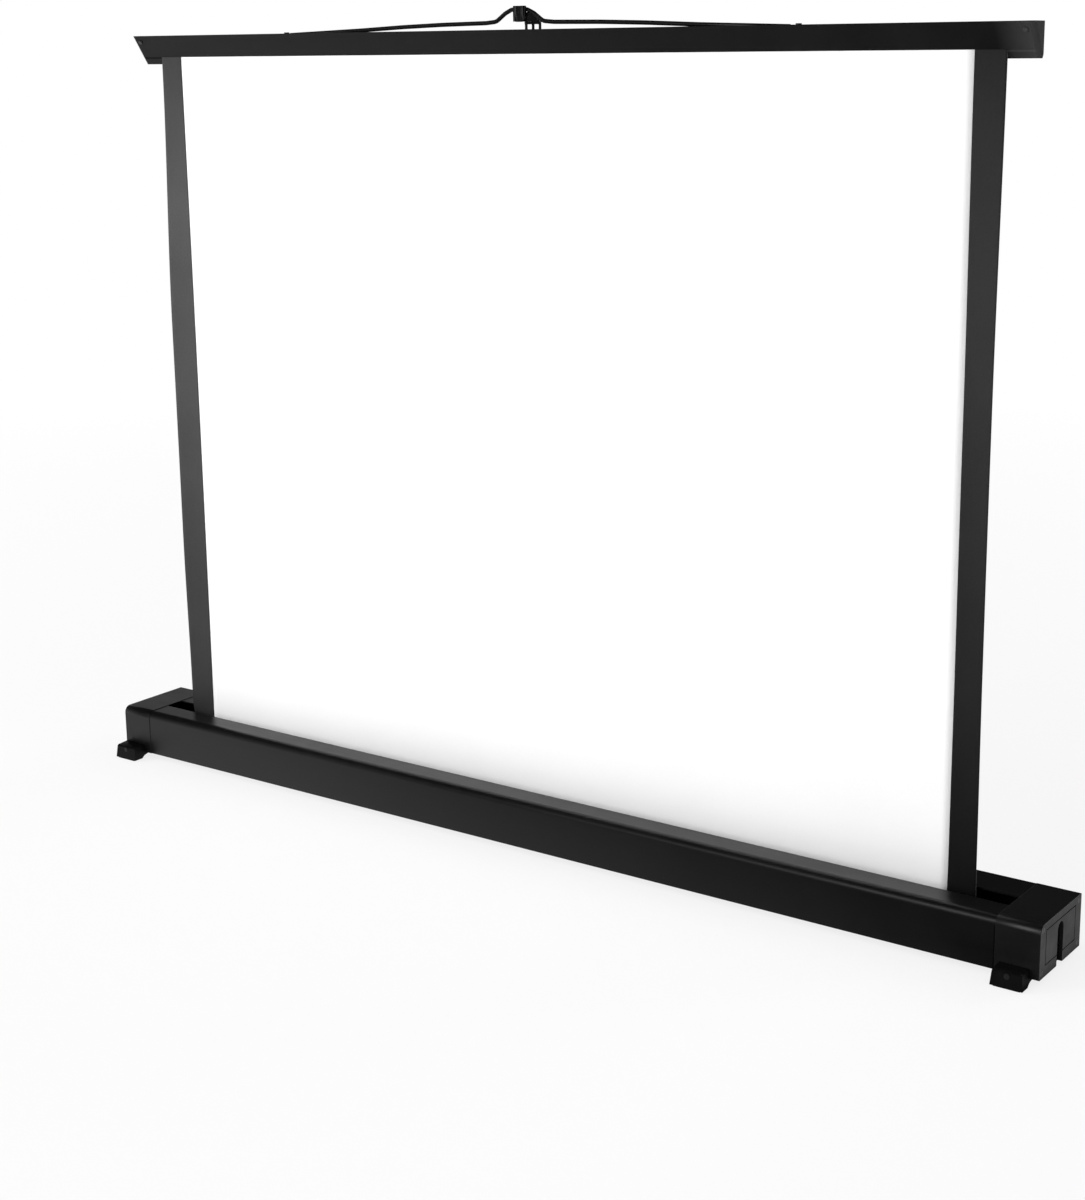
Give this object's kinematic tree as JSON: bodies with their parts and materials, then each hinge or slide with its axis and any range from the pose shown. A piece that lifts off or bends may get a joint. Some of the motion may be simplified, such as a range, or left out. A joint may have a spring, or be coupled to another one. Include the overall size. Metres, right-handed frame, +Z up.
{
  "type": "tabletop projection screen",
  "caption": "Free-standing pull-up projection screen: slim case on feet, spring roller, white fabric with black side borders, top bar with a wire handle on a folding rear arm.",
  "frame": {"origin": "centre of the footprint at table level", "axes": "+X along the case to the viewer's right, +Y from the white front to the back, +Z up"},
  "size_m": [1.172, 0.13, 0.8672],
  "materials": {
    "case_powder_coat": "satin black powder coat over extruded aluminium",
    "bar_powder_coat": "satin black powder coat over extruded aluminium",
    "end_plastic": "fine-grained moulded",
    "foot_plastic": "fine-grained moulded",
    "hook_plastic": "semi-gloss moulded",
    "pad_rubber": "matte",
    "dark_screw": "blackened",
    "bracket_steel": "zinc plated",
    "arm_steel": "satin black",
    "wire_steel": "black coated spring wire",
    "tube_aluminium": "mill finish",
    "white_fabric": "matte white",
    "black_border": "matte black print"
  },
  "bodies": {
    "case": {"case_body": "case_powder_coat", "end_sleeve_left": "case_powder_coat", "end_sleeve_right": "case_powder_coat", "end_plate_left": "end_plastic", "end_plate_right": "end_plastic", "end_screws": "dark_screw", "foot_front_left": "foot_plastic", "foot_front_right": "foot_plastic", "foot_rear_left": "foot_plastic", "foot_rear_right": "foot_plastic", "foot_screws": "dark_screw", "foot_pads": "pad_rubber", "roller_bracket_left": "bracket_steel", "roller_bracket_right": "bracket_steel", "bracket_screws": "bracket_steel", "spring_arbor": "bracket_steel", "screen_fabric": "white_fabric", "border_left": "black_border", "border_right": "black_border", "arm_base": "arm_steel", "base_screws": "bracket_steel", "base_pin": "bracket_steel"},
    "roller": {"roller_tube": "tube_aluminium", "roller_plug": "end_plastic", "roller_bush": "end_plastic", "return_spring": "bracket_steel", "fabric_roll": "white_fabric"},
    "lower_arm": {"lower_arm": "arm_steel", "elbow_pin": "bracket_steel", "elbow_spacer": "bracket_steel"},
    "upper_arm": {"upper_arm": "arm_steel"},
    "head": {"head_pin": "bracket_steel", "hook_neck": "hook_plastic", "hook_nose": "hook_plastic"},
    "bar": {"top_bar": "bar_powder_coat", "bar_cap_left": "end_plastic", "bar_cap_right": "end_plastic", "fabric_rod": "bracket_steel", "bar_screws": "dark_screw", "handle_wire": "wire_steel", "handle_clips": "foot_plastic", "clip_screws": "dark_screw"}
  },
  "joints": [
    {"name": "arm_fold", "type": "hinge", "parent": "case", "child": "lower_arm", "pos_m": [-0.0035, 0.0158, 0.02], "axis": [0, 1, 0], "range_deg": [0, 88], "deforming": ["screen_fabric", "border_left", "border_right"]},
    {"name": "elbow", "type": "hinge", "parent": "lower_arm", "child": "upper_arm", "pos_m": [-0.0035, 0.0141, 0.42682], "axis": [0, 1, 0], "range_deg": [-176, 0]},
    {"name": "head_level", "type": "hinge", "parent": "upper_arm", "child": "head", "pos_m": [-0.0035, 0.0107, 0.83365], "axis": [0, 1, 0], "range_deg": [0, 88]},
    {"name": "bar_lift", "type": "slide", "parent": "head", "child": "bar", "axis": [0, 0, 1], "range_m": [0, 0.006]},
    {"name": "roller_spin", "type": "hinge", "parent": "case", "child": "roller", "pos_m": [0, -0.0128, 0.0251], "axis": [-1, 0, 0], "range_deg": [0, 3470]}
  ],
  "couplings": [
    {"joint": "elbow", "follows": "arm_fold", "ratio": -2},
    {"joint": "head_level", "follows": "arm_fold", "ratio": 1},
    {"joint": "roller_spin", "follows": "arm_fold", "ratio": 39.328}
  ]
}
